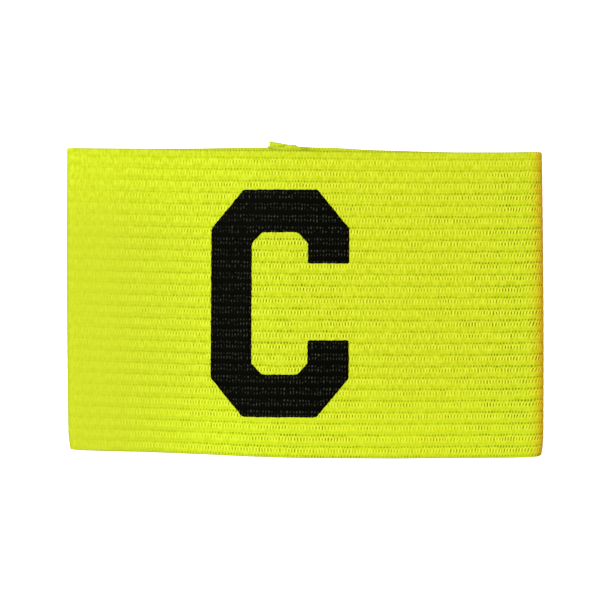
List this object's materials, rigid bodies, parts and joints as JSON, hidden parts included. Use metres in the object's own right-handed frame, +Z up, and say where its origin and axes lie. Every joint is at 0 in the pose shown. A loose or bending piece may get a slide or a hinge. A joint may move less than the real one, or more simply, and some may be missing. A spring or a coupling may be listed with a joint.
{
  "type": "captain armband",
  "caption": "Loop of ribbed woven elastic lying flattened, sewn closed at the back, with a printed block letter C on its front.",
  "frame": {"origin": "middle of the underside of the armband's box, on the surface that it lies on", "axes": "+X round the arm, towards the reader's right when the letter is read; +Y along the arm, towards the letter's top; +Z up, out of the front"},
  "size_m": [0.1332, 0.0878, 0.0125],
  "materials": {
    "woven_elastic": "matte ribbed weave, fluorescent yellow",
    "print_film": "matte black heat-transfer print over the weave"
  },
  "bodies": {
    "root": {"band": "woven_elastic", "letter_c": "print_film"}
  },
  "joints": []
}
